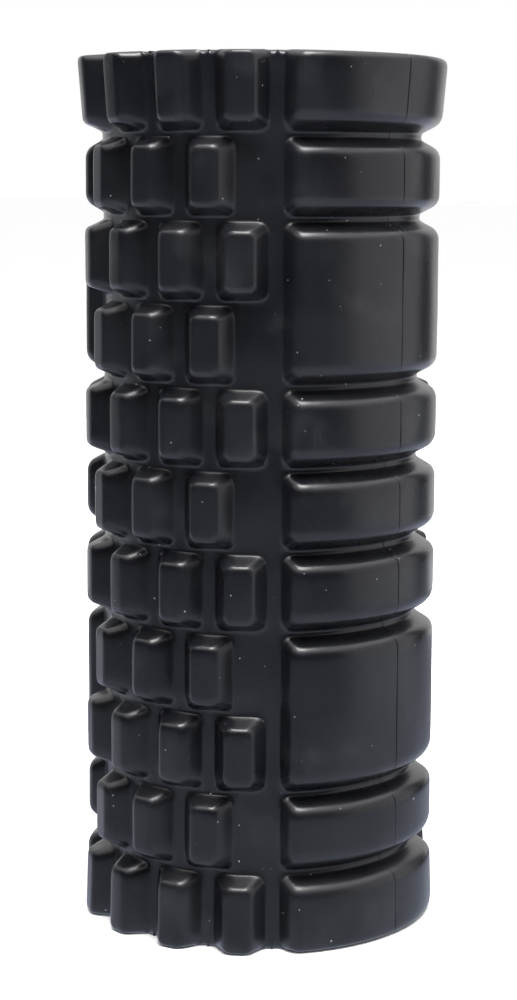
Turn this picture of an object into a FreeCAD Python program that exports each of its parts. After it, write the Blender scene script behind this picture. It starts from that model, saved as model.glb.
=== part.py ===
import FreeCAD, Part

import math
import os

import Sketcher

# Foam massage roller: one moulded foam sheet with raised lugs, wrapped round a stiff hollow tube.
# Frame: origin at the centre of the lower end face, +Z up along the roller's axis.
# The two smooth wide zones face +X and -X, the two lug zones face -Y and +Y.
# The sheet's ends meet in a butt joint down the middle of the +X wide zone.

DRIVING_DIMENSIONS = [
    # alias, value (millimetres, degrees or a count)
    ("overall_length", 330.0),
    ("outer_radius", 67.8),
    ("end_flare", 2.6),
    ("flare_length", 24.0),
    ("floor_radius", 60.3),
    ("sheet_inner_radius", 52.3),
    ("row_pitch", 30.3),
    ("row_groove_floor", 3.2),
    ("row_groove_face", 9.8),
    ("lug_pitch_angle", 22.5),
    ("lug_base_half_angle", 8.95),
    ("lug_face_half_angle", 5.7),
    ("strip_centre_angle", 45.2),
    ("strip_base_half_angle", 2.5),
    ("strip_face_half_angle", 5.8),
    ("edge_rounding", 2.0),
    ("cutter_margin", 4.0),
    ("seam_gap", 0.4),
    ("tube_bore_radius", 48.0),
    ("tube_outer_radius", 52.0),
    ("tube_recess", 1.0),
    ("tube_chamfer", 0.8),
    ("film_recess", 3.0),
]

# The first, third ... last row of a lug zone has four lugs, and the rows between have three,
# staggered by half a lug pitch.
ROWS_OF_FOUR = 6
ROWS_OF_THREE = 5
LUG_ZONES = 2
# Grooves between rows, in row pitches from mid-length. Two wide blocks run on across the last two.
FULL_GROOVES = (-4.5, -3.5, -1.5, -0.5, 0.5, 1.5, 3.5, 4.5)
LUG_ZONE_GROOVES = (-2.5, 2.5)

doc = FreeCAD.newDocument("foam_roller")
sheet = doc.addObject("Spreadsheet::Sheet", "sizes")
for row, (alias, value) in enumerate(DRIVING_DIMENSIONS, start=1):
    sheet.set(f"A{row}", alias)
    sheet.set(f"B{row}", str(value))
    sheet.setAlias(f"B{row}", alias)
doc.recompute()


def cell(alias):
    """The expression that reads one driving dimension."""
    return f"sizes.{alias}"


def number(expression):
    """The present value of an expression."""
    value = sheet.evalExpression(expression)
    return float(getattr(value, "Value", value))


def polar(radius, angle):
    """Expressions for the plan position at a radius and an angle from -Y towards +X."""
    return f"({radius}) * sin({angle})", f"-({radius}) * cos({angle})"


def beyond(start, end, share):
    """Expressions for the point that carries the line from start to end on by a share of its length."""
    return tuple(f"({b}) + {share} * (({b}) - ({a}))" for a, b in zip(start, end))


def origin_feature(body, role):
    """The body's own origin plane or axis with a role such as XY_Plane."""
    return next(item for item in body.Origin.OriginFeatures if item.Role == role)


def new_body(name):
    body = doc.addObject("PartDesign::Body", name)
    body.Label = name
    return body


def new_sketch(body, name, plane):
    sketch = body.newObject("Sketcher::SketchObject", name)
    sketch.AttachmentSupport = [(origin_feature(body, plane), "")]
    sketch.MapMode = "FlatFace"
    return sketch


def add_polygon(sketch, corners):
    """Draw a closed polygon whose corners are held by expressions."""
    points = [FreeCAD.Vector(number(x), number(y), 0) for x, y in corners]
    first = sketch.GeometryCount
    count = len(points)
    for index in range(count):
        sketch.addGeometry(Part.LineSegment(points[index], points[(index + 1) % count]), False)
    for index in range(count):
        line = first + index
        following = first + (index + 1) % count
        sketch.addConstraint(Sketcher.Constraint("Coincident", line, 2, following, 1))
    for index, (x, y) in enumerate(corners):
        for kind, expression in (("DistanceX", x), ("DistanceY", y)):
            held = sketch.addConstraint(
                Sketcher.Constraint(kind, -1, 1, first + index, 1, number(expression))
            )
            sketch.setExpression(f"Constraints[{held}]", expression)


def revolve(body, name, kind, sketch):
    """Turn a sketch about the roller's axis, adding or cutting material all the way round."""
    feature = body.newObject(f"PartDesign::{kind}", name)
    feature.Profile = sketch
    feature.ReferenceAxis = (sketch, ["V_Axis"])
    feature.Angle = 360.0
    body.Tip = feature
    return feature


def barrel_outline(inner, outer):
    """A half-section between two radii whose outside flares out over the last stretch at each end."""
    length, stretch = cell("overall_length"), cell("flare_length")
    flared = f"{outer} + {cell('end_flare')}"
    return [
        (inner, "0"),
        (flared, "0"),
        (outer, stretch),
        (outer, f"{length} - {stretch}"),
        (flared, length),
        (inner, length),
    ]


def groove_outline(pitches):
    """The drafted section of the groove a number of row pitches from mid-length."""
    middle = f"{cell('overall_length')} / 2 + {pitches} * {cell('row_pitch')}"
    rise = f"({cell('row_groove_face')} - {cell('row_groove_floor')}) / 2"
    depth = f"({cell('outer_radius')} - {cell('floor_radius')})"
    margin = cell("cutter_margin")
    half_floor = f"{cell('row_groove_floor')} / 2"
    widening = f"{rise} * {margin} / {depth}"
    deep, high = f"{cell('floor_radius')} - {margin}", f"{cell('outer_radius')} + {margin}"
    half_deep = f"({half_floor} - {widening})"
    half_high = f"({cell('row_groove_face')} / 2 + {widening})"
    return [
        (deep, f"{middle} - {half_deep}"),
        (high, f"{middle} - {half_high}"),
        (high, f"{middle} + {half_high}"),
        (deep, f"{middle} + {half_deep}"),
    ]


def slot_outline(left, right):
    """A slot that runs along the roller, in plan, between two drafted walls.

    Each wall is a pair: its angle at the floor and its angle at the outer face.
    """
    margin_share = f"({cell('cutter_margin')} / ({cell('outer_radius')} - {cell('floor_radius')}))"
    corners = []
    for base_angle, face_angle in (left, right):
        base = polar(cell("floor_radius"), base_angle)
        face = polar(cell("outer_radius"), face_angle)
        deep = beyond(face, base, margin_share)
        high = beyond(base, face, margin_share)
        corners.append((deep, high))
    (left_deep, left_high), (right_deep, right_high) = corners
    return [left_deep, left_high, right_high, right_deep]


def lug_wall(middle, side):
    """The wall of a lug on the side -1 or +1 of the lug's own middle angle."""
    base, face = cell("lug_base_half_angle"), cell("lug_face_half_angle")
    return f"({middle}) + {side} * {base}", f"({middle}) + {side} * {face}"


def strip_wall(middle, side):
    """The wall of the smooth strip on the side -1 or +1 of the strip's own middle angle."""
    base, face = cell("strip_base_half_angle"), cell("strip_face_half_angle")
    return f"({middle}) + {side} * {base}", f"({middle}) + {side} * {face}"


def lug_angle(zone, pitches):
    """The middle angle of a lug, counted in lug pitches from the middle of its zone."""
    return f"{zone * 360 / LUG_ZONES} + {pitches} * {cell('lug_pitch_angle')}"


def strip_angle(zone, side):
    return f"{zone * 360 / LUG_ZONES} + {side} * {cell('strip_centre_angle')}"


def cut_slots(body, name, outlines, first_row=None, rows=1):
    """Cut slots over one row's height and repeat them over every second row, or over the whole length."""
    sketch = new_sketch(body, f"{name}_plan", "XY_Plane")
    for outline in outlines:
        add_polygon(sketch, outline)
    middle = f"{cell('overall_length')} / 2"
    reach = f"{cell('overall_length')} + {cell('cutter_margin')}"
    if first_row is not None:
        middle = f"{middle} + {first_row} * {cell('row_pitch')}"
        reach = cell("row_pitch")
    sketch.setExpression(".AttachmentOffset.Base.z", middle)
    pocket = body.newObject("PartDesign::Pocket", name)
    pocket.Profile = sketch
    pocket.Midplane = True
    pocket.setExpression("Length", reach)
    body.Tip = pocket
    doc.recompute()
    if rows > 1:
        pattern = body.newObject("PartDesign::LinearPattern", f"{name}_rows")
        pattern.Originals = [pocket]
        pattern.Direction = (origin_feature(body, "Z_Axis"), [""])
        pattern.setExpression("Length", f"{2 * (rows - 1)} * {cell('row_pitch')}")
        pattern.Occurrences = rows
        body.Tip = pattern
        doc.recompute()


def round_raised_edges(body, ring):
    """Round every edge of the lugs and blocks that stands clear of the floor between them."""
    clear_radius = number(f"{cell('floor_radius')} + {cell('end_flare')}")
    edges = []
    for index, edge in enumerate(ring.Shape.Edges, start=1):
        middle = edge.valueAt((edge.FirstParameter + edge.LastParameter) / 2)
        if math.hypot(middle.x, middle.y) > clear_radius:
            edges.append(f"Edge{index}")
    rounding = body.newObject("PartDesign::Fillet", "raised_edges")
    rounding.Base = (ring, edges)
    rounding.setExpression("Radius", cell("edge_rounding"))
    body.Tip = rounding
    doc.recompute()


def make_foam_blank():
    """The moulded foam as one unbroken ring: a sleeve with its lugs and wide blocks."""
    body = new_body("foam_blank")
    root = f"{cell('floor_radius')} - {cell('cutter_margin')} / 2"
    band = new_sketch(body, "band_section", "XZ_Plane")
    add_polygon(band, barrel_outline(root, cell("outer_radius")))
    revolve(body, "band", "Revolution", band)
    doc.recompute()

    grooves = new_sketch(body, "full_groove_sections", "XZ_Plane")
    for pitches in FULL_GROOVES:
        add_polygon(grooves, groove_outline(pitches))
    revolve(body, "full_grooves", "Groove", grooves)
    doc.recompute()

    part_grooves = new_sketch(body, "zone_groove_sections", "YZ_Plane")
    for pitches in LUG_ZONE_GROOVES:
        add_polygon(part_grooves, groove_outline(pitches))
    zone_grooves = revolve(body, "zone_grooves", "Groove", part_grooves)
    zone_grooves.Midplane = True
    zone_grooves.setExpression("Angle", f"2 * {cell('strip_centre_angle')}")
    doc.recompute()
    both = body.newObject("PartDesign::PolarPattern", "zone_grooves_both_sides")
    both.Originals = [zone_grooves]
    both.Axis = (origin_feature(body, "Z_Axis"), [""])
    both.Angle = 360.0
    both.Occurrences = LUG_ZONES
    body.Tip = both
    doc.recompute()

    zones = range(LUG_ZONES)
    strips = [
        slot_outline(strip_wall(strip_angle(zone, side), -1), strip_wall(strip_angle(zone, side), 1))
        for zone in zones
        for side in (-1, 1)
    ]
    cut_slots(body, "strips", strips)
    between_four = [
        slot_outline(lug_wall(lug_angle(zone, gap - 0.5), 1), lug_wall(lug_angle(zone, gap + 0.5), -1))
        for zone in zones
        for gap in (-1, 0, 1)
    ]
    cut_slots(body, "gaps_between_four", between_four, first_row=1 - ROWS_OF_FOUR, rows=ROWS_OF_FOUR)
    between_three = [
        slot_outline(lug_wall(lug_angle(zone, gap - 0.5), 1), lug_wall(lug_angle(zone, gap + 0.5), -1))
        for zone in zones
        for gap in (-0.5, 0.5)
    ]
    for zone in zones:
        between_three.append(
            slot_outline(strip_wall(strip_angle(zone, -1), -1), lug_wall(lug_angle(zone, -1), -1))
        )
        between_three.append(
            slot_outline(lug_wall(lug_angle(zone, 1), 1), strip_wall(strip_angle(zone, 1), 1))
        )
    cut_slots(body, "gaps_between_three", between_three, first_row=1 - ROWS_OF_THREE, rows=ROWS_OF_THREE)

    sleeve = new_sketch(body, "sleeve_section", "XZ_Plane")
    add_polygon(sleeve, barrel_outline(cell("sheet_inner_radius"), cell("floor_radius")))
    ring = revolve(body, "sleeve", "Revolution", sleeve)
    doc.recompute()
    round_raised_edges(body, ring)
    return body


def make_core_tube():
    """The stiff hollow tube, a little shorter than the foam, with chamfered ends."""
    body = new_body("core_tube")
    section = new_sketch(body, "tube_section", "XY_Plane")
    for alias in ("tube_bore_radius", "tube_outer_radius"):
        circle = section.addGeometry(
            Part.Circle(FreeCAD.Vector(0, 0, 0), FreeCAD.Vector(0, 0, 1), number(cell(alias))), False
        )
        section.addConstraint(Sketcher.Constraint("Coincident", circle, 3, -1, 1))
        radius = section.addConstraint(Sketcher.Constraint("Radius", circle, number(cell(alias))))
        section.setExpression(f"Constraints[{radius}]", cell(alias))
    section.setExpression(".AttachmentOffset.Base.z", cell("tube_recess"))
    wall = body.newObject("PartDesign::Pad", "tube_wall")
    wall.Profile = section
    wall.setExpression("Length", f"{cell('overall_length')} - 2 * {cell('tube_recess')}")
    body.Tip = wall
    doc.recompute()
    edges = [
        f"Edge{index}"
        for index, edge in enumerate(wall.Shape.Edges, start=1)
        if isinstance(edge.Curve, Part.Circle)
    ]
    chamfer = body.newObject("PartDesign::Chamfer", "tube_ends")
    chamfer.Base = (wall, edges)
    chamfer.setExpression("Size", cell("tube_chamfer"))
    body.Tip = chamfer
    return body


def make_adhesive_film():
    """The thin cylinder of contact cement between the tube and the foam."""
    film = doc.addObject("Part::Cut", "adhesive_film")
    for role, alias, extra in (
        ("Base", "sheet_inner_radius", "0"),
        ("Tool", "tube_outer_radius", cell("cutter_margin")),
    ):
        cylinder = doc.addObject("Part::Cylinder", f"film_{role.lower()}")
        cylinder.setExpression("Radius", cell(alias))
        cylinder.setExpression(
            "Height", f"{cell('overall_length')} - 2 * {cell('film_recess')} + 2 * {extra}"
        )
        cylinder.setExpression(".Placement.Base.z", f"{cell('film_recess')} - {extra}")
        setattr(film, role, cylinder)
    film.Label = "adhesive_film"
    return film


def make_joint(blank):
    """Part the ring at +X: the foam sheet with a narrow slit, and the cement that fills the slit."""
    slit = doc.addObject("Part::Box", "slit")
    margin = cell("cutter_margin")
    slit.setExpression("Length", f"{cell('outer_radius')} + 2 * {margin} - {cell('tube_outer_radius')}")
    slit.setExpression("Width", cell("seam_gap"))
    slit.setExpression("Height", f"{cell('overall_length')} + 2 * {margin}")
    slit.setExpression(".Placement.Base.x", f"{cell('tube_outer_radius')} - {margin} / 2")
    slit.setExpression(".Placement.Base.y", f"-{cell('seam_gap')} / 2")
    slit.setExpression(".Placement.Base.z", f"-{margin}")
    foam = doc.addObject("Part::Cut", "foam_sheet")
    foam.Base, foam.Tool = blank, slit
    bond = doc.addObject("Part::Common", "seam_bond")
    bond.Base, bond.Tool = blank, slit
    foam.Label, bond.Label = "foam_sheet", "seam_bond"
    return [foam, bond]


blank = make_foam_blank()
nodes = [make_core_tube(), make_adhesive_film()] + make_joint(blank)
doc.recompute()

for item in doc.Objects:
    if "Invalid" in item.State or "Error" in item.State:
        raise RuntimeError(f"{item.Label} could not be computed: {item.State}")
for node in nodes:
    shape = node.Shape
    if shape.isNull() or not shape.isValid():
        raise RuntimeError(f"{node.Label} has no valid shape")
    volume = round(shape.Volume / 1000, 2)
    print(node.Label, len(shape.Solids), "solids", len(shape.Faces), "faces", volume, "cm3")

os.makedirs("parts", exist_ok=True)
for node in nodes:
    node.Shape.exportStep(os.path.join("parts", f"{node.Label}.step"))
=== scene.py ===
import logging
import math
from collections.abc import Callable, Iterable
from dataclasses import dataclass, field
from enum import Enum
from functools import reduce

import bmesh
import bpy
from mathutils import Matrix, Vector, noise


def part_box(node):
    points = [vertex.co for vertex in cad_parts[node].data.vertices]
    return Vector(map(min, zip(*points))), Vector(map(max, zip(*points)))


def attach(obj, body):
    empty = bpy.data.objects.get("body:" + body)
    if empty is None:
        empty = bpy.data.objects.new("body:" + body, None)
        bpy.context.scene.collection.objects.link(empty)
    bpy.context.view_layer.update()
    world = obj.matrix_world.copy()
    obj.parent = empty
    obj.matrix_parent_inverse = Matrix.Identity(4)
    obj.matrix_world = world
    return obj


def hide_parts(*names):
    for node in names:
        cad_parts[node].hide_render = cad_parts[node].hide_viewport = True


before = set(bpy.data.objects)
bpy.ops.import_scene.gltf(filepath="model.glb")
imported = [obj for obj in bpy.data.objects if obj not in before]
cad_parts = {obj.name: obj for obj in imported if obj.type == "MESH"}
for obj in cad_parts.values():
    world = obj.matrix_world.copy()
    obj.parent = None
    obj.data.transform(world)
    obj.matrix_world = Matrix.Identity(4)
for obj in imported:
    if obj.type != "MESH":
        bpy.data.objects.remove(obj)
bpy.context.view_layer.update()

LOG = logging.getLogger("foam_roller")
MM = 0.001
Colour = tuple[float, float, float]

# How far a place may be off and still count, from the untouched slab to the drafted one.
HAIR = 0.01 * MM
CLOSE = 0.02 * MM
LOOSE = 0.05 * MM
# The same for an angle round the roller, in radians.
ANGLE_TOLERANCE = 1e-4
# How far from a flat end its cut surface starts to show.
END_FADE = 0.3 * MM
# The least share of a face's normal that lies along an axis when the face looks that way.
FACING = 0.9
# The part of a cloudy pattern's range that most of its surface has.
MID_RANGE = (0.3, 0.7)
# A Mix node's colour sockets, which can't be told from its number sockets by name.
MIX_SHARE, MIX_UNDER, MIX_OVER, MIX_RESULT = 0, 6, 7, 2


class Plane(Enum):
    """The two directions in which the flat sheet is ruled, as normals of the cuts."""

    ACROSS = (1.0, 0.0, 0.0)
    ALONG = (0.0, 0.0, 1.0)


class Part(Enum):
    """What is selected in edit mode: the select mode's name and the mesh's list."""

    POINTS = ("VERT", "verts")
    EDGES = ("EDGE", "edges")
    FACES = ("FACE", "faces")


class Bend(Enum):
    """The least angle between two faces, in radians, for their edge to be rounded."""

    SLIGHT = 0.3
    CLEAR = 0.5
    SHARP = 0.8


# ---------------------------------------------------------------- bench tools


def deselect_all() -> None:
    """Leave no object selected."""
    if bpy.context.object and bpy.context.object.mode != "OBJECT":
        bpy.ops.object.mode_set(mode="OBJECT")
    bpy.ops.object.select_all(action="DESELECT")


def pick(piece: bpy.types.Object) -> None:
    """Make one object the selected and active one.

    Args:
        piece: The object.
    """
    deselect_all()
    piece.select_set(True)
    bpy.context.view_layer.objects.active = piece


def add_block(name: str, low: Vector, high: Vector) -> bpy.types.Object:
    """Add a cuboid between two corners, with its place in its mesh.

    Args:
        name: The object's name.
        low: Its lowest corner.
        high: Its highest corner.

    Returns:
        The new object, selected and active.
    """
    deselect_all()
    bpy.ops.mesh.primitive_cube_add(size=1.0, location=(low + high) / 2, scale=high - low)
    block = bpy.context.object
    block.name = name
    block.data.name = name
    bpy.ops.object.transform_apply(location=True, rotation=True, scale=True)
    return block


def select(piece: bpy.types.Object, part: Part, wanted: Callable[..., bool]) -> int:
    """Select, in edit mode, only the points, edges or faces that pass a test.

    Args:
        piece: The object in edit mode.
        part: What is selected.
        wanted: The test, which is given one point, edge or face.

    Returns:
        How many are selected.
    """
    mode, members = part.value
    bpy.ops.mesh.select_mode(type=mode)
    bpy.ops.mesh.select_all(action="DESELECT")
    mesh = bmesh.from_edit_mesh(piece.data)
    chosen = [member for member in getattr(mesh, members) if wanted(member)]
    for member in chosen:
        member.select = True
    mesh.select_flush_mode()
    bmesh.update_edit_mesh(piece.data)
    return len(chosen)


def rule(places: Iterable[float], plane: Plane) -> None:
    """Cut the mesh in edit mode by parallel planes.

    Args:
        places: Where the planes stand along their normal.
        plane: Which way they face.
    """
    normal = Vector(plane.value)
    for place in places:
        bpy.ops.mesh.select_all(action="SELECT")
        bpy.ops.mesh.bisect(plane_co=normal * place, plane_no=normal)


def bevel_selected(width: float, segments: int) -> None:
    """Round the selected edges.

    Args:
        width: How far the rounding reaches from the edge.
        segments: How many faces it is made of.
    """
    bpy.ops.mesh.bevel(
        offset_type="OFFSET", offset=width, segments=segments, profile=0.5, affect="EDGES",
        clamp_overlap=False, loop_slide=True,
    )


def turned(edge: bmesh.types.BMEdge, least: Bend) -> bool:
    """Whether an edge joins two faces that meet at more than an angle."""
    return len(edge.link_faces) == 2 and edge.calc_face_angle() > least.value


def apply_place(piece: bpy.types.Object, shift: Vector, turn: float) -> None:
    """Move an object, then turn it about the vertical axis, and keep both in its mesh.

    Args:
        piece: The object, which stands at the origin unturned.
        shift: How far it moves.
        turn: How far it turns after that, in radians.
    """
    pick(piece)
    piece.location = shift
    bpy.ops.object.transform_apply(location=True, rotation=False, scale=False)
    piece.rotation_euler = (0, 0, turn)
    bpy.ops.object.transform_apply(location=False, rotation=True, scale=False)


def apply_modifier(piece: bpy.types.Object, kind: str, **settings: object) -> None:
    """Add a modifier, set it and apply it.

    Args:
        piece: The object to change.
        kind: The modifier's type.
        settings: Its values by name.
    """
    pick(piece)
    modifier = piece.modifiers.new(kind.lower(), kind)
    for name, value in settings.items():
        setattr(modifier, name, value)
    bpy.ops.object.modifier_apply(modifier=modifier.name)


# ---------------------------------------------------------------- the foam


@dataclass(frozen=True)
class LugGrid:
    """The plan of the moulded sheet: rows along the roller, lugs and blocks round it.

    Angles count from the middle of a lug zone, and rows from mid-length upwards.

    Attributes:
        rows: How many rows there are.
        row_pitch: The distance between two rows' middles.
        row_base_gap: The width of the groove's floor between two rows.
        lug_pitch: The angle between two lugs' middles.
        lug_base_half: Half the angle that a lug's foot takes up.
        zone_half: Half the angle of a lug zone, to the last lug's foot.
        strip_far_side: Where the wide blocks' feet begin.
        block_cells: How many faces a wide block is ruled into, round the roller.
        lugs_when_odd: The lugs' middles in odd rows, in lug pitches.
        lugs_when_even: The lugs' middles in even rows, in lug pitches.
        merged_grooves: The grooves that the wide blocks run across, in row pitches.
    """

    rows: int = 11
    row_pitch: float = 30.15 * MM
    row_base_gap: float = 2.6 * MM
    lug_pitch: float = math.radians(22.5)
    lug_base_half: float = math.radians(8.95)
    zone_half: float = math.radians(42.7)
    strip_far_side: float = math.radians(47.7)
    block_cells: int = 12
    lugs_when_odd: tuple[float, ...] = (-1.5, -0.5, 0.5, 1.5)
    lugs_when_even: tuple[float, ...] = (-1.0, 0.0, 1.0)
    merged_grooves: tuple[float, ...] = (-2.5, 2.5)

    def row_numbers(self) -> range:
        """All the rows, from the lowest to the highest."""
        half = self.rows // 2
        return range(-half, half + 1)

    def lugs_in(self, row: int) -> tuple[float, ...]:
        """The lugs of a row, in lug pitches from the middle of their zone."""
        return self.lugs_when_odd if row % 2 else self.lugs_when_even

    def lug_lines(self) -> list[float]:
        """Find the angles at which the sheet is ruled for one lug zone.

        Returns:
            The edges of all the lugs' feet and of the two strips beside them, in order.
        """
        lines = set()
        most = round(2 * max(self.lugs_when_odd)) + 1
        for step in range(-most, most + 1):
            for side in (-1, 1):
                angle = step * self.lug_pitch / 2 + side * self.lug_base_half
                if abs(angle) < self.zone_half + ANGLE_TOLERANCE:
                    lines.add(round(angle, 6))
        lines.update((-self.strip_far_side, self.strip_far_side))
        return sorted(lines)


@dataclass
class FoamSheet:
    """The moulded foam: modelled as a flat sheet, then wrapped round until its ends meet.

    The flat sheet has x round the roller, z along it, and its outer side towards -y, with y = 0 on
    the floor between the lugs.

    Attributes:
        length: The roller's length.
        inner_radius: The radius of the sheet's inner side.
        floor_radius: The radius of the floor between the lugs.
        lug_height: How far the lugs stand over the floor.
        block_height: The same for the wide blocks.
        lug_draft_along: How far a lug's upper and lower wall lean in.
        lug_draft_across: How far its two side walls lean in.
        block_draft: How far a wide block's walls lean in.
        end_draft: How far the walls at the roller's two ends lean in.
        corner_radius: The rounding of the lugs' and blocks' upright corners.
        corner_segments: How many faces that rounding is made of.
        lug_face_radius: The rounding round a lug's outer face.
        block_face_radius: The same for a wide block.
        foot_radius: The rounding where a wall meets the floor.
        rim_radius: The rounding of the roller's two ends.
        butt_radius: The rounding of the sheet's ends where they meet.
        butt_support: How far from those ends an extra cut keeps them crisp.
        upper_flare: How far the upper end swells.
        lower_flare: How far the lower end swells.
        flare_reach: How far from an end the swelling starts.
        flare_power: How steeply it grows towards the end.
        seam_gap: The thickness of the cement where the ends meet.
        unevenness: How far the outer side wavers.
        uneven_spacing: The size of those waves.
        softening: The levels of subdivision.
        grid: The plan of rows, lugs and blocks.
    """

    length: float
    inner_radius: float
    floor_radius: float = 60.3 * MM
    lug_height: float = 8.0 * MM
    block_height: float = 7.5 * MM
    lug_draft_along: float = 2.9 * MM
    lug_draft_across: float = 5.0 * MM
    block_draft: float = 3.7 * MM
    end_draft: float = 0.4 * MM
    corner_radius: float = 3.2 * MM
    corner_segments: int = 3
    lug_face_radius: float = 1.8 * MM
    block_face_radius: float = 2.9 * MM
    foot_radius: float = 0.9 * MM
    rim_radius: float = 0.7 * MM
    butt_radius: float = 0.05 * MM
    butt_support: float = 0.4 * MM
    upper_flare: float = 2.6 * MM
    lower_flare: float = 1.1 * MM
    flare_reach: float = 34.0 * MM
    flare_power: float = 1.1
    seam_gap: float = 0.08 * MM
    unevenness: float = 0.14 * MM
    uneven_spacing: float = 22.0 * MM
    softening: int = 1
    grid: LugGrid = field(default_factory=LugGrid)

    @property
    def turn(self) -> float:
        """The flat length of the sheet, measured on the floor between the lugs."""
        return 2 * math.pi * self.floor_radius

    @property
    def slab(self) -> float:
        """The thickness of the sheet under its floor."""
        return self.floor_radius - self.inner_radius

    def row_middle(self, row: float) -> float:
        """The height of a row's middle above the lower end."""
        return self.length / 2 + row * self.grid.row_pitch

    def row_span(self, row: int) -> tuple[float, float]:
        """Find where a row's foot begins and ends; the last rows run on to the roller's ends.

        Args:
            row: The row's number.

        Returns:
            The heights of its lower and upper edge.
        """
        half = (self.grid.row_pitch - self.grid.row_base_gap) / 2
        middle, last = self.row_middle(row), self.grid.rows // 2
        low = 0.0 if row == -last else middle - half
        high = self.length if row == last else middle + half
        return low, high

    def across(self, angle: float) -> float:
        """The place along the flat sheet of an angle round the roller."""
        return angle * self.floor_radius

    def rule_sheet(self) -> None:
        """Cut the flat slab along every edge that a lug or block will stand on."""
        quarter = math.pi / 2
        angles = []
        for zone in (-quarter, quarter):
            angles += [zone + line for line in self.grid.lug_lines()]
        block = math.pi - 2 * self.grid.strip_far_side
        for centre in (-math.pi, 0.0, math.pi):
            for cell in range(1, self.grid.block_cells):
                angle = centre + block * (cell / self.grid.block_cells - 0.5)
                if abs(angle) < math.pi - ANGLE_TOLERANCE:
                    angles.append(angle)
        rule((self.across(angle) for angle in sorted(angles)), Plane.ACROSS)
        heights = []
        for row in self.grid.row_numbers():
            low, high = self.row_span(row)
            third = (high - low) / 3
            heights += [low, low + third, high - third, high]
        rule((z for z in heights if HAIR < z < self.length - HAIR), Plane.ALONG)

    def is_outer(self, face: bmesh.types.BMFace) -> bool:
        """Whether a face lies on the outer side of the flat slab."""
        return face.normal.y < -FACING and abs(face.calc_center_median().y) < HAIR

    def on_lug(self, face: bmesh.types.BMFace) -> bool:
        """Tell whether a face lies in a lug's foot.

        Args:
            face: A face on the outer side of the flat slab.

        Returns:
            True if its middle is inside the foot.
        """
        place = face.calc_center_median()
        angle = abs(place.x) / self.floor_radius - math.pi / 2
        for row in self.grid.row_numbers():
            low, high = self.row_span(row)
            if low < place.z < high:
                return any(
                    abs(angle - lug * self.grid.lug_pitch) < self.grid.lug_base_half
                    for lug in self.grid.lugs_in(row)
                )
        return False

    def on_block(self, face: bmesh.types.BMFace) -> bool:
        """Tell whether a face lies in a wide block's foot.

        Args:
            face: A face on the outer side of the flat slab.

        Returns:
            True if its middle is inside the foot.
        """
        place = face.calc_center_median()
        angle = abs(abs(place.x) / self.floor_radius - math.pi / 2)
        if angle < self.grid.strip_far_side:
            return False
        half_gap = self.grid.row_base_gap / 2
        for groove in self.grid.merged_grooves:
            if abs(place.z - self.row_middle(groove)) < half_gap:
                return True
        return any(
            low < place.z < high for low, high in map(self.row_span, self.grid.row_numbers())
        )

    def raise_lugs(self, sheet: bpy.types.Object) -> None:
        """Draw the lugs and the wide blocks out of the slab with drafted walls.

        Args:
            sheet: The ruled slab, in edit mode.
        """
        for inside, draft, height in (
            (self.on_lug, self.lug_draft_along, self.lug_height),
            (self.on_block, self.block_draft, self.block_height),
        ):
            select(sheet, Part.FACES, lambda f: self.is_outer(f) and inside(f))
            bpy.ops.mesh.inset(thickness=draft, depth=height, use_even_offset=True)
        self.square_ends(sheet)

    def narrow_lugs(self, sheet: bpy.types.Object) -> None:
        """Give the lugs' side walls more draft than their end walls.

        Args:
            sheet: The flat sheet, in edit mode, with its corners rounded.
        """
        foot = self.across(self.grid.lug_base_half)
        share = (foot - self.lug_draft_across) / (foot - self.lug_draft_along)
        raised = -self.lug_height / 2
        for zone in (-1, 1):
            for row in self.grid.row_numbers():
                low, high = self.row_span(row)
                for lug in self.grid.lugs_in(row):
                    middle = self.across(zone * math.pi / 2 + lug * self.grid.lug_pitch)
                    select(
                        sheet,
                        Part.POINTS,
                        lambda p: p.co.y < raised
                        and abs(p.co.x - middle) < foot
                        and low < p.co.z < high,
                    )
                    bpy.ops.transform.resize(
                        value=(share, 1, 1), center_override=(middle, 0, 0)
                    )

    def square_ends(self, sheet: bpy.types.Object) -> None:
        """Bring the walls at the roller's ends and at the butt joint upright.

        Args:
            sheet: The flat sheet, in edit mode, with its lugs and blocks just raised.
        """
        raised = -self.lug_height / 2
        for draft in (self.lug_draft_along, self.block_draft):
            for side, end in ((-1, 0.0), (1, self.length)):
                select(
                    sheet,
                    Part.POINTS,
                    lambda p: p.co.y < raised and abs(abs(p.co.z - end) - draft) < LOOSE,
                )
                bpy.ops.transform.translate(value=(0, 0, side * (draft - self.end_draft)))
        reach = self.turn / 2 - self.block_draft - LOOSE
        for side in (-1, 1):
            select(sheet, Part.POINTS, lambda p: p.co.y < raised and side * p.co.x > reach)
            bpy.ops.transform.translate(value=(side * self.block_draft, 0, 0))

    def at_butt(self, edge: bmesh.types.BMEdge) -> bool:
        """Whether an edge lies in one of the sheet's two butt ends."""
        return all(abs(p.co.x) > self.turn / 2 - CLOSE for p in edge.verts)

    def at_end(self, edge: bmesh.types.BMEdge) -> bool:
        """Whether an edge lies in one of the roller's two ends."""
        return all(p.co.z < CLOSE or p.co.z > self.length - CLOSE for p in edge.verts)

    def in_lug_zone(self, edge: bmesh.types.BMEdge) -> bool:
        """Whether an edge lies in one of the two lug zones."""
        angle = abs(edge.verts[0].co.x) / self.floor_radius - math.pi / 2
        return abs(angle) < self.grid.zone_half

    def is_corner(self, edge: bmesh.types.BMEdge) -> bool:
        """Tell whether an edge is an upright corner of a lug or a wide block.

        Args:
            edge: An edge of the flat sheet.

        Returns:
            True if it runs from the floor to a face, and turns.
        """
        rise = abs(edge.verts[0].co.y - edge.verts[1].co.y)
        full = min(abs(rise - self.lug_height), abs(rise - self.block_height)) < CLOSE
        return full and turned(edge, Bend.CLEAR) and not self.at_butt(edge)

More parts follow.
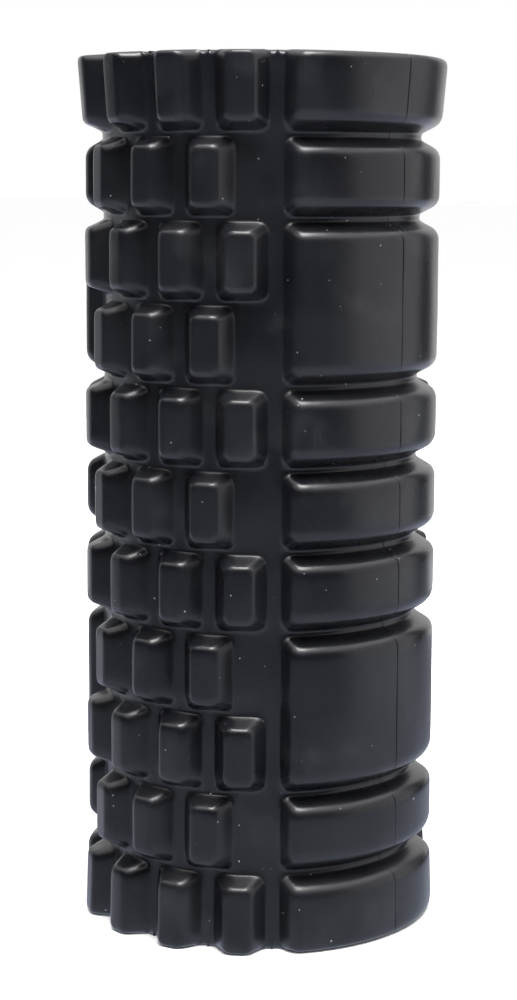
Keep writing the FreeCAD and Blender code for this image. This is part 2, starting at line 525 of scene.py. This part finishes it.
    def is_face_rim(self, edge: bmesh.types.BMEdge) -> bool:
        """Whether an edge runs round the outer face of a lug or a wide block."""
        raised = all(p.co.y < CLOSE - self.block_height for p in edge.verts)
        return raised and turned(edge, Bend.SLIGHT) and not self.at_butt(edge)

    def is_lug_rim(self, edge: bmesh.types.BMEdge) -> bool:
        """Whether an edge runs round a lug's face."""
        return self.is_face_rim(edge) and self.in_lug_zone(edge)

    def is_block_rim(self, edge: bmesh.types.BMEdge) -> bool:
        """Whether an edge runs round a wide block's face."""
        return self.is_face_rim(edge) and not self.in_lug_zone(edge)

    def is_foot(self, edge: bmesh.types.BMEdge) -> bool:
        """Tell whether an edge is where a wall meets the floor.

        Args:
            edge: An edge of the flat sheet.

        Returns:
            True if it lies on the floor, and turns, and is in no end of the sheet.
        """
        on_floor = all(abs(p.co.y) < CLOSE for p in edge.verts)
        inside = not self.at_end(edge) and not self.at_butt(edge)
        return on_floor and inside and turned(edge, Bend.SLIGHT)

    def is_end_rim(self, edge: bmesh.types.BMEdge) -> bool:
        """Tell whether an edge is an outer edge of the roller's two ends.

        Args:
            edge: An edge of the flat sheet.

        Returns:
            True if it is in an end face, outside the slab's inner side, and turns.
        """
        outside = all(p.co.y < CLOSE for p in edge.verts)
        rim = outside and self.at_end(edge)
        return rim and turned(edge, Bend.SHARP) and not self.at_butt(edge)

    def is_bore_rim(self, edge: bmesh.types.BMEdge) -> bool:
        """Whether an edge is an inner edge of the roller's two ends."""
        inside = all(p.co.y > self.slab - CLOSE for p in edge.verts)
        return inside and turned(edge, Bend.SHARP) and not self.at_butt(edge)

    def is_butt_rim(self, edge: bmesh.types.BMEdge) -> bool:
        """Whether an edge runs round one of the sheet's two butt ends."""
        return self.at_butt(edge) and turned(edge, Bend.SLIGHT)

    def round_edges(self, sheet: bpy.types.Object) -> None:
        """Round the faces and feet of the lugs and blocks, and the slab's own edges.

        Args:
            sheet: The flat sheet, in edit mode, with its corners rounded.
        """
        for name, test, width, segments in (
            ("lug faces", self.is_lug_rim, self.lug_face_radius, 3),
            ("block faces", self.is_block_rim, self.block_face_radius, 3),
            ("feet", self.is_foot, self.foot_radius, 2),
            ("end rims", self.is_end_rim, self.rim_radius, 2),
            ("bore rims", self.is_bore_rim, self.rim_radius, 2),
            ("butt rims", self.is_butt_rim, self.butt_radius, 1),
        ):
            count = select(sheet, Part.EDGES, test)
            bevel_selected(width, segments)
            LOG.info("rounded %d edges of the %s", count, name)

    def flare_ends(self, sheet: bpy.types.Object) -> None:
        """Let the outside swell towards both ends, as a thick sheet does when it is rolled up.

        Args:
            sheet: The flat sheet, in object mode.
        """
        for point in sheet.data.vertices:
            from_end = min(point.co.z, self.length - point.co.z)
            flare = self.upper_flare if point.co.z > self.length / 2 else self.lower_flare
            lift = max(0.0, 1.0 - from_end / self.flare_reach) ** self.flare_power * flare
            share = min(1.0, max(0.0, (self.slab - point.co.y) / self.slab))
            point.co.y -= lift * share

    def unsettle(self, sheet: bpy.types.Object) -> None:
        """Leave the outside a little uneven, as foam comes out of its mould.

        Args:
            sheet: The flat sheet, in object mode.
        """
        for point in sheet.data.vertices:
            if point.co.y < self.unevenness:
                wave = noise.noise(point.co / self.uneven_spacing)
                point.co.y += self.unevenness * wave

    def wrap(self, sheet: bpy.types.Object) -> None:
        """Bend the flat sheet round the roller's axis, with the butt joint at +X.

        Args:
            sheet: The flat sheet, in object mode.
        """
        gap_angle = self.seam_gap / self.floor_radius
        apply_modifier(
            sheet, "SIMPLE_DEFORM", deform_method="BEND", deform_axis="Z",
            angle=2 * math.pi - gap_angle,
        )
        apply_place(sheet, Vector((0, -self.floor_radius, 0)), -math.pi / 2)

    def cast_bond(self, sheet: bpy.types.Object) -> bpy.types.Object:
        """Make the cement in the butt joint from the outline of the sheet's own end.

        Args:
            sheet: The flat sheet, in object mode.

        Returns:
            The cement, in its place in the wrapped sheet.
        """
        pick(sheet)
        bpy.ops.object.mode_set(mode="EDIT")
        end = self.turn / 2 - HAIR
        select(
            sheet,
            Part.FACES,
            lambda f: f.normal.x > FACING and f.calc_center_median().x > end,
        )
        bpy.ops.mesh.duplicate()
        bpy.ops.mesh.separate(type="SELECTED")
        bpy.ops.object.mode_set(mode="OBJECT")
        bond = next(o for o in bpy.context.selected_objects if o != sheet)
        bond.name = bond.data.name = "seam_cement"
        apply_place(bond, Vector((-self.turn / 2, -self.floor_radius, 0)), math.pi / 2)
        apply_modifier(bond, "SOLIDIFY", thickness=self.seam_gap, offset=0.0)
        bpy.ops.object.shade_flat()
        return bond

    def build(self) -> tuple[bpy.types.Object, bpy.types.Object]:
        """Model the sheet flat, soften it, cast its joint and wrap it.

        Returns:
            The wrapped foam and the cement in its butt joint.
        """
        half = self.turn / 2
        sheet = add_block("foam", Vector((-half, 0, 0)), Vector((half, self.slab, self.length)))
        bpy.ops.object.mode_set(mode="EDIT")
        self.rule_sheet()
        self.raise_lugs(sheet)
        count = select(sheet, Part.EDGES, self.is_corner)
        bevel_selected(self.corner_radius, self.corner_segments)
        LOG.info("rounded %d corners", count)
        self.narrow_lugs(sheet)
        self.round_edges(sheet)
        crisp = half - self.butt_support
        rule((-crisp, crisp), Plane.ACROSS)
        bpy.ops.object.mode_set(mode="OBJECT")
        LOG.info("flat sheet has %d faces", len(sheet.data.polygons))
        apply_modifier(sheet, "SUBSURF", levels=self.softening, render_levels=self.softening)
        self.flare_ends(sheet)
        self.unsettle(sheet)
        bond = self.cast_bond(sheet)
        self.wrap(sheet)
        pick(sheet)
        bpy.ops.object.shade_smooth()
        return sheet, bond


# ---------------------------------------------------------------- finishes


@dataclass(frozen=True)
class Clouds:
    """A cloudy pattern.

    Attributes:
        scale: Features per metre.
        detail: How many finer layers are added.
        roughness: How strong the finer layers are.
        low: Where the part of its range that is used begins.
        high: Where that part ends.
        stretch: A scale for each axis, for streaks, or None for the same all round.
    """

    scale: float
    detail: float = 2.0
    roughness: float = 0.5
    low: float = 0.0
    high: float = 1.0
    stretch: tuple[float, float, float] | None = None


@dataclass(frozen=True)
class Relief:
    """One layer of shallow relief on a surface.

    Attributes:
        clouds: Its pattern.
        strength: How much of it shows.
        depth: Its full height in metres.
    """

    clouds: Clouds
    strength: float
    depth: float


@dataclass(frozen=True)
class Dust:
    """One size of dust speck.

    Attributes:
        scale: Places for a speck per metre.
        reach: A speck's radius, as a share of the distance between places.
        bare: The share of places with no speck.
    """

    scale: float
    reach: float
    bare: float


class NodeBench:
    """A material's node tree, built one node at a time."""

    def __init__(self, name: str) -> None:
        """Start a material that has only its shader and its output.

        Args:
            name: The material's name.
        """
        self.material = bpy.data.materials.new(name)
        self.material.use_nodes = True
        self.tree = self.material.node_tree
        self.shader = self.tree.nodes["Principled BSDF"]
        self.place = self.tree.nodes.new("ShaderNodeTexCoord").outputs["Object"]

    def link(self, source: bpy.types.NodeSocket, target: bpy.types.NodeSocket) -> None:
        """Join two sockets."""
        self.tree.links.new(source, target)

    def stretched(self, scale: tuple[float, float, float]) -> bpy.types.NodeSocket:
        """Scale Object coordinates apart along the three axes.

        Args:
            scale: The three scales.

        Returns:
            The scaled coordinates.
        """
        mapping = self.tree.nodes.new("ShaderNodeMapping")
        mapping.inputs["Scale"].default_value = scale
        self.link(self.place, mapping.inputs["Vector"])
        return mapping.outputs["Vector"]

    def clouds(self, clouds: Clouds) -> bpy.types.NodeSocket:
        """Add a cloudy pattern at its full range.

        Args:
            clouds: Its settings.

        Returns:
            The pattern, from 0 to 1.
        """
        node = self.tree.nodes.new("ShaderNodeTexNoise")
        node.inputs["Scale"].default_value = clouds.scale
        node.inputs["Detail"].default_value = clouds.detail
        node.inputs["Roughness"].default_value = clouds.roughness
        place = self.stretched(clouds.stretch) if clouds.stretch else self.place
        self.link(place, node.inputs["Vector"])
        return node.outputs["Fac"]

    def patches(self, clouds: Clouds) -> bpy.types.NodeSocket:
        """Patches from 0 to 1, made of the part of a pattern's range that is used."""
        return self.ramp(self.clouds(clouds), clouds.low, clouds.high)

    def cells(self, scale: float) -> bpy.types.Node:
        """Add scattered cells.

        Args:
            scale: Cells per metre.

        Returns:
            The node, which gives the distance to a cell's middle and a random colour per cell.
        """
        node = self.tree.nodes.new("ShaderNodeTexVoronoi")
        node.inputs["Scale"].default_value = scale
        self.link(self.place, node.inputs["Vector"])
        return node

    def ramp(
        self,
        value: bpy.types.NodeSocket,
        low: float = 0.0,
        high: float = 1.0,
        start: float = 0.0,
        end: float = 1.0,
    ) -> bpy.types.NodeSocket:
        """Map a value smoothly from one range onto another.

        Args:
            value: What is mapped.
            low: The value that gives start.
            high: The value that gives end.
            start: The result at and before low.
            end: The result at and past high.

        Returns:
            The mapped value.
        """
        node = self.tree.nodes.new("ShaderNodeMapRange")
        node.interpolation_type = "SMOOTHSTEP"
        settings = (("From Min", low), ("From Max", high), ("To Min", start), ("To Max", end))
        for name, number in settings:
            node.inputs[name].default_value = number
        self.link(value, node.inputs["Value"])
        return node.outputs["Result"]

    def combine(
        self, how: str, first: bpy.types.NodeSocket, second: bpy.types.NodeSocket | float
    ) -> bpy.types.NodeSocket:
        """Combine two values.

        Args:
            how: A Math node's operation.
            first: The first value.
            second: The second value, or a constant.

        Returns:
            The result.
        """
        node = self.tree.nodes.new("ShaderNodeMath")
        node.operation = how
        self.link(first, node.inputs[0])
        if isinstance(second, (int, float)):
            node.inputs[1].default_value = second
        else:
            self.link(second, node.inputs[1])
        return node.outputs["Value"]

    def blend(
        self,
        share: bpy.types.NodeSocket,
        first: bpy.types.NodeSocket | Colour,
        second: Colour,
    ) -> bpy.types.NodeSocket:
        """Mix a colour into another.

        Args:
            share: How much of the second colour shows.
            first: The colour underneath.
            second: The colour on top.

        Returns:
            The mixed colour.
        """
        node = self.tree.nodes.new("ShaderNodeMix")
        node.data_type = "RGBA"
        under, over = node.inputs[MIX_UNDER], node.inputs[MIX_OVER]
        if isinstance(first, tuple):
            under.default_value = (*first, 1.0)
        else:
            self.link(first, under)
        over.default_value = (*second, 1.0)
        self.link(share, node.inputs[MIX_SHARE])
        return node.outputs[MIX_RESULT]

    def near_ends(self, middle: float, reach: float) -> bpy.types.NodeSocket:
        """Find the two flat ends of a piece that stands upright.

        Args:
            middle: The height of the piece's middle.
            reach: How far its ends are from its middle.

        Returns:
            1 on the ends and 0 elsewhere.
        """
        split = self.tree.nodes.new("ShaderNodeSeparateXYZ")
        self.link(self.place, split.inputs["Vector"])
        away = self.combine("ABSOLUTE", self.combine("SUBTRACT", split.outputs["Z"], middle), 0.0)
        return self.ramp(away, reach - END_FADE, reach - LOOSE)

    def bump(self, height: bpy.types.NodeSocket, strength: float, depth: float) -> None:
        """Raise the surface by a height, over any bump that is there already.

        Args:
            height: The relief, from 0 to 1.
            strength: How much of it shows.
            depth: The relief's full height in metres.
        """
        node = self.tree.nodes.new("ShaderNodeBump")
        node.inputs["Strength"].default_value = strength
        node.inputs["Distance"].default_value = depth
        self.link(height, node.inputs["Height"])
        target = self.shader.inputs["Normal"]
        if target.is_linked:
            self.link(target.links[0].from_socket, node.inputs["Normal"])
        self.link(node.outputs["Normal"], target)

    def emboss(self, relief: Relief) -> None:
        """Raise the surface by one layer of relief."""
        self.bump(self.clouds(relief.clouds), relief.strength, relief.depth)

    def colour(self, value: bpy.types.NodeSocket) -> None:
        """Link the shader's colour."""
        self.link(value, self.shader.inputs["Base Color"])

    def roughen(self, value: bpy.types.NodeSocket) -> None:
        """Link the shader's roughness."""
        self.link(value, self.shader.inputs["Roughness"])


@dataclass(frozen=True)
class FoamSkin:
    """The satin skin of moulded EVA foam, with faint scuffs and specks of dust.

    Attributes:
        length: The roller's length, which tells where its cut ends are.
        deep: The foam's darker colour.
        pale: Its paler colour.
        scuff: The colour of a scuff.
        dust: The colour of dust.
        cut: The colour of the cut ends.
        tones: Where the foam is paler.
        worn: Where it is scuffed.
        hairs: The fine streaks that a scuff is made of.
        streaks: How much a scuff shows between its streaks and on them.
        satin: The roughness where the foam is darker and where it is paler.
        worn_roughness: What a scuff adds to it.
        cut_roughness: What a cut end adds to it.
        most_roughness: The roughest that the foam gets.
        grain: The moulded relief.
        pores: Pores per metre on the cut ends.
        pore_strength: How much of the pores' relief shows.
        pore_depth: That relief's full height.
        specks: The sizes of dust speck.
        faintness: How much the faintest and the brightest speck show.
    """

    length: float
    deep: Colour = (0.0044, 0.0047, 0.0068)
    pale: Colour = (0.008, 0.0084, 0.0112)
    scuff: Colour = (0.036, 0.037, 0.041)
    dust: Colour = (0.45, 0.45, 0.46)
    cut: Colour = (0.016, 0.0163, 0.0175)
    tones: Clouds = Clouds(26.0, detail=3.0, low=0.36, high=0.66)
    worn: Clouds = Clouds(44.0, detail=3.0, low=0.52, high=0.78)
    hairs: Clouds = Clouds(1.0, detail=3.0, low=0.6, high=0.72, stretch=(1500.0, 1500.0, 70.0))
    streaks: tuple[float, float] = (0.3, 0.75)
    satin: tuple[float, float] = (0.27, 0.33)
    worn_roughness: float = 0.08
    cut_roughness: float = 0.42
    most_roughness: float = 0.85
    grain: tuple[Relief, ...] = (
        Relief(Clouds(230.0, detail=4.0, roughness=0.55), strength=0.22, depth=0.25 * MM),
        Relief(Clouds(1500.0), strength=0.16, depth=0.08 * MM),
    )
    pores: float = 1900.0
    pore_strength: float = 0.5
    pore_depth: float = 0.25 * MM
    specks: tuple[Dust, ...] = (Dust(420.0, 0.13, 0.93), Dust(210.0, 0.1, 0.92))
    faintness: tuple[float, float] = (0.15, 0.9)

    def material(self) -> bpy.types.Material:
        """Make the foam's material.

        Returns:
            The material.
        """
        bench = NodeBench("foam_skin")
        tones = bench.patches(self.tones)
        streaks = bench.ramp(bench.patches(self.hairs), start=self.streaks[0], end=self.streaks[1])
        scuffs = bench.combine("MULTIPLY", bench.patches(self.worn), streaks)
        ends = bench.near_ends(self.length / 2, self.length / 2)
        colour = bench.blend(tones, self.deep, self.pale)
        colour = bench.blend(scuffs, colour, self.scuff)
        colour = bench.blend(ends, colour, self.cut)
        bench.colour(bench.blend(self.dusting(bench), colour, self.dust))
        gloss = bench.ramp(tones, start=self.satin[0], end=self.satin[1])
        gloss = bench.combine("ADD", gloss, bench.ramp(scuffs, end=self.worn_roughness))
        gloss = bench.combine("ADD", gloss, bench.ramp(ends, end=self.cut_roughness))
        bench.roughen(bench.combine("MINIMUM", gloss, self.most_roughness))
        for relief in self.grain:
            bench.emboss(relief)
        pores = bench.combine("MULTIPLY", bench.cells(self.pores).outputs["Distance"], ends)
        bench.bump(pores, self.pore_strength, self.pore_depth)
        return bench.material

    def dusting(self, bench: NodeBench) -> bpy.types.NodeSocket:
        """Scatter sparse specks of dust.

        Args:
            bench: The material's node tree.

        Returns:
            How much dust shows: 0 between the specks.
        """
        sizes = []
        for dust in self.specks:
            cells = bench.cells(dust.scale)
            split = bench.tree.nodes.new("ShaderNodeSeparateColor")
            bench.link(cells.outputs["Color"], split.inputs["Color"])
            dot = bench.ramp(cells.outputs["Distance"], dust.reach / 2, dust.reach, 1.0, 0.0)
            rare = bench.combine("GREATER_THAN", split.outputs["Red"], dust.bare)
            share = bench.ramp(
                split.outputs["Green"], start=self.faintness[0], end=self.faintness[1]
            )
            sizes.append(bench.combine("MULTIPLY", bench.combine("MULTIPLY", dot, rare), share))
        return reduce(lambda first, second: bench.combine("MAXIMUM", first, second), sizes)


@dataclass(frozen=True)
class TubePlastic:
    """Extruded black ABS, with the fine lines that the die leaves along it.

    Attributes:
        deep: The plastic's darker colour.
        pale: Its paler colour.
        line: The colour of the die's lines.
        tones: Where the plastic is paler.
        lines: The die's lines.
        line_share: How much of their colour shows at most.
        sheen: The roughness between the lines and on them.
        line_strength: How much of the lines' relief shows.
        line_depth: That relief's full height.
        grain: The relief of the skin.
    """

    deep: Colour = (0.012, 0.012, 0.013)
    pale: Colour = (0.021, 0.021, 0.022)
    line: Colour = (0.045, 0.045, 0.047)
    tones: Clouds = Clouds(40.0, detail=5.0, low=0.35, high=0.7)
    lines: Clouds = Clouds(1.0, detail=4.0, low=0.58, high=0.8, stretch=(900.0, 900.0, 7.0))
    line_share: float = 0.6
    sheen: tuple[float, float] = (0.27, 0.42)
    line_strength: float = 0.25
    line_depth: float = 0.12 * MM
    grain: Relief = Relief(Clouds(900.0, detail=3.0), strength=0.1, depth=0.05 * MM)

    def material(self) -> bpy.types.Material:
        """Make the tube's material.

        Returns:
            The material.
        """
        bench = NodeBench("tube_plastic")
        lines = bench.clouds(self.lines)
        bright = bench.ramp(lines, self.lines.low, self.lines.high, end=self.line_share)
        colour = bench.blend(bench.patches(self.tones), self.deep, self.pale)
        bench.colour(bench.blend(bright, colour, self.line))
        bench.roughen(bench.ramp(lines, *MID_RANGE, *self.sheen))
        bench.bump(lines, self.line_strength, self.line_depth)
        bench.emboss(self.grain)
        return bench.material


@dataclass(frozen=True)
class Cement:
    """Contact cement that has dried in a brushed film.

    Attributes:
        name: The material's name.
        thin: Its colour where the film is thin.
        thick: Its colour where it is thick.
        smears: Where it is thick.
        sheen: The roughness where it is thin and where it is thick.
        strength: How much of the smears' relief shows.
        depth: That relief's full height.
    """

    name: str
    thin: Colour
    thick: Colour
    smears: Clouds = Clouds(160.0, detail=6.0, roughness=0.6, low=0.35, high=0.68)
    sheen: tuple[float, float] = (0.6, 0.45)
    strength: float = 0.4
    depth: float = 0.15 * MM

    def material(self) -> bpy.types.Material:
        """Make the cement's material.

        Returns:
            The material.
        """
        bench = NodeBench(self.name)
        smears = bench.clouds(self.smears)
        thickness = bench.ramp(smears, self.smears.low, self.smears.high)
        bench.colour(bench.blend(thickness, self.thin, self.thick))
        bench.roughen(bench.ramp(smears, *MID_RANGE, *self.sheen))
        bench.bump(smears, self.strength, self.depth)
        return bench.material


def dress(piece: bpy.types.Object, material: bpy.types.Material) -> None:
    """Give a piece one material all over."""
    piece.data.materials.clear()
    piece.data.materials.append(material)


# ---------------------------------------------------------------- studio


@dataclass(frozen=True)
class Softbox:
    """A flat soft light that faces the roller.

    Attributes:
        name: The light's name.
        bearing: Degrees round the roller from the camera's own side, towards the camera's right.
        elevation: Degrees above the roller's middle.
        distance: How far it stands from there.
        width: Its width.
        height: Its height.
        power: Its power in watts.
        colour: Its colour.
    """

    name: str
    bearing: float
    elevation: float
    distance: float
    width: float
    height: float
    power: float
    colour: Colour = (1.0, 1.0, 1.0)


@dataclass(frozen=True)
class Studio:
    """The floor, the lights and the camera.

    Attributes:
        distance: How far the camera stands from the roller's axis.
        height: How high it stands.
        azimuth: Its angle round the roller.
        pitch: How far it looks down.
        roll: How far it leans.
        shift: How far the frame is moved sideways, as a share of its longer side.
        lens: Its focal length in millimetres.
        aim: The height of the roller's middle, which the lights face.
        dome: The surround's colours, each with the sine of its height above the horizon.
        white: What the camera sees of the surround.
        softboxes: The lights.
        floor_size: The length of the floor's sides.
        floor_colour: The floor's colour.
        floor_roughness: Its roughness.
    """

    distance: float = 0.8614
    height: float = 0.286
    azimuth: float = math.radians(40.2)
    pitch: float = math.radians(8.277)
    roll: float = math.radians(-0.30)
    shift: float = -0.0032
    lens: float = 80.32
    aim: float = 0.165
    dome: tuple[tuple[float, Colour], ...] = (
        (-0.36, (0.74, 0.8, 0.98)),
        (-0.1, (0.015, 0.016, 0.02)),
        (0.42, (0.02, 0.02, 0.024)),
        (0.8, (1.7, 1.7, 1.7)),
    )
    white: Colour = (1.0, 1.0, 1.0)
    softboxes: tuple[Softbox, ...] = (
        Softbox("overhead", 12.0, 74.0, 1.5, 0.9, 0.9, 38.0),
        Softbox("right_wall", 90.0, 18.0, 1.5, 1.9, 1.9, 9.6, (1.0, 0.995, 0.98)),
        Softbox("left_wall", -120.0, 4.0, 1.6, 0.9, 1.6, 3.0, (0.92, 0.95, 1.0)),
        Softbox("backdrop", 180.0, 10.0, 1.7, 2.6, 1.5, 12.0),
    )
    floor_size: float = 40.0
    floor_colour: Colour = (0.97, 0.97, 0.97)
    floor_roughness: float = 0.9

    def place_camera(self) -> None:
        """Stand the camera where the roller is seen from a little above."""
        data = bpy.data.cameras.new("camera")
        data.lens = self.lens
        data.shift_x = self.shift
        camera = bpy.data.objects.new("camera", data)
        bpy.context.collection.objects.link(camera)
        camera.location = (
            self.distance * math.sin(self.azimuth),
            -self.distance * math.cos(self.azimuth),
            self.height,
        )
        camera.rotation_euler = (math.pi / 2 - self.pitch, self.roll, self.azimuth)
        bpy.context.scene.camera = camera

    def hang(self, box: Softbox) -> None:
        """Hang one softbox so that it faces the roller.

        Args:
            box: The softbox.
        """
        data = bpy.data.lights.new(box.name, "AREA")
        data.shape = "RECTANGLE"
        data.size, data.size_y = box.width, box.height
        data.energy = box.power
        data.color = box.colour
        lamp = bpy.data.objects.new(box.name, data)
        bpy.context.collection.objects.link(lamp)
        turn = self.azimuth + math.radians(box.bearing)
        rise = math.radians(box.elevation)
        away = Vector(
            (math.sin(turn) * math.cos(rise), -math.cos(turn) * math.cos(rise), math.sin(rise))
        )
        lamp.location = Vector((0, 0, self.aim)) + away * box.distance
        lamp.rotation_euler = away.to_track_quat("Z", "Y").to_euler()
        lamp.visible_camera = False

    def dome_light(self, tree: bpy.types.NodeTree) -> bpy.types.NodeSocket:
        """Make the surround's light, which changes with the height above the horizon.

        Args:
            tree: The world's node tree.

        Returns:
            The light's colour.
        """
        split = tree.nodes.new("ShaderNodeSeparateXYZ")
        heading = tree.nodes.new("ShaderNodeTexCoord").outputs["Generated"]
        tree.links.new(heading, split.inputs["Vector"])
        rise = tree.nodes.new("ShaderNodeMapRange")
        rise.inputs["From Min"].default_value = -1.0
        tree.links.new(split.outputs["Z"], rise.inputs["Value"])
        dome = tree.nodes.new("ShaderNodeValToRGB")
        dome.color_ramp.interpolation = "EASE"
        stops = dome.color_ramp.elements
        places = [(height + 1) / 2 for height, _ in self.dome]
        stops[0].position, stops[1].position = places[0], places[-1]
        for place in places[1:-1]:
            stops.new(place)
        # The stops sort themselves by place, so they get their colours last.
        for stop, (_, colour) in zip(stops, self.dome):
            stop.color = (*colour, 1.0)
        tree.links.new(rise.outputs["Result"], dome.inputs["Fac"])
        return dome.outputs["Color"]

    def surround(self) -> None:
        """Put white where the camera sees past the roller, and the dome's light all round."""
        world = bpy.data.worlds.new("studio")
        world.use_nodes = True
        tree = world.node_tree
        shown = tree.nodes.new("ShaderNodeMix")
        shown.data_type = "RGBA"
        seen = tree.nodes.new("ShaderNodeLightPath").outputs["Is Camera Ray"]
        tree.links.new(seen, shown.inputs[MIX_SHARE])
        tree.links.new(self.dome_light(tree), shown.inputs[MIX_UNDER])
        shown.inputs[MIX_OVER].default_value = (*self.white, 1.0)
        tree.links.new(shown.outputs[MIX_RESULT], tree.nodes["Background"].inputs["Color"])
        bpy.context.scene.world = world
        bpy.context.scene.view_settings.view_transform = "Standard"

    def lay_floor(self) -> None:
        """Lay a plain pale floor."""
        deselect_all()
        bpy.ops.mesh.primitive_plane_add(size=self.floor_size, location=(0, 0, 0))
        floor = bpy.context.object
        floor.name = "floor"
        material = bpy.data.materials.new("floor")
        material.use_nodes = True
        shader = material.node_tree.nodes["Principled BSDF"]
        shader.inputs["Base Color"].default_value = (*self.floor_colour, 1.0)
        shader.inputs["Roughness"].default_value = self.floor_roughness
        floor.data.materials.append(material)
        floor.visible_glossy = False

    def light(self) -> None:
        """Light the roller by the softboxes and the surround."""
        for box in self.softboxes:
            self.hang(box)
        self.surround()


def main() -> None:
    """Build the foam, dress every piece and set the studio round the roller."""
    logging.basicConfig(level=logging.INFO)
    studio = Studio()
    studio.place_camera()
    foam_low, foam_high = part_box("foam_sheet")
    film_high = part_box("adhesive_film")[1]
    foam = FoamSheet(length=foam_high[2] - foam_low[2], inner_radius=film_high[0])
    sheet, bond = foam.build()
    dress(sheet, FoamSkin(length=foam.length).material())
    dress(bond, Cement("seam_cement", (0.006, 0.006, 0.006), (0.011, 0.011, 0.012)).material())
    dress(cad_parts["core_tube"], TubePlastic().material())
    dress(
        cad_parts["adhesive_film"],
        Cement("film_cement", (0.07, 0.05, 0.025), (0.14, 0.1, 0.05)).material(),
    )
    for piece, node in ((sheet, "foam_sheet"), (bond, "seam_bond")):
        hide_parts(node)
        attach(piece, "root")
        LOG.info("%s has %d faces", piece.name, len(piece.data.polygons))
    studio.light()
    studio.lay_floor()


if __name__ == "__main__":
    main()
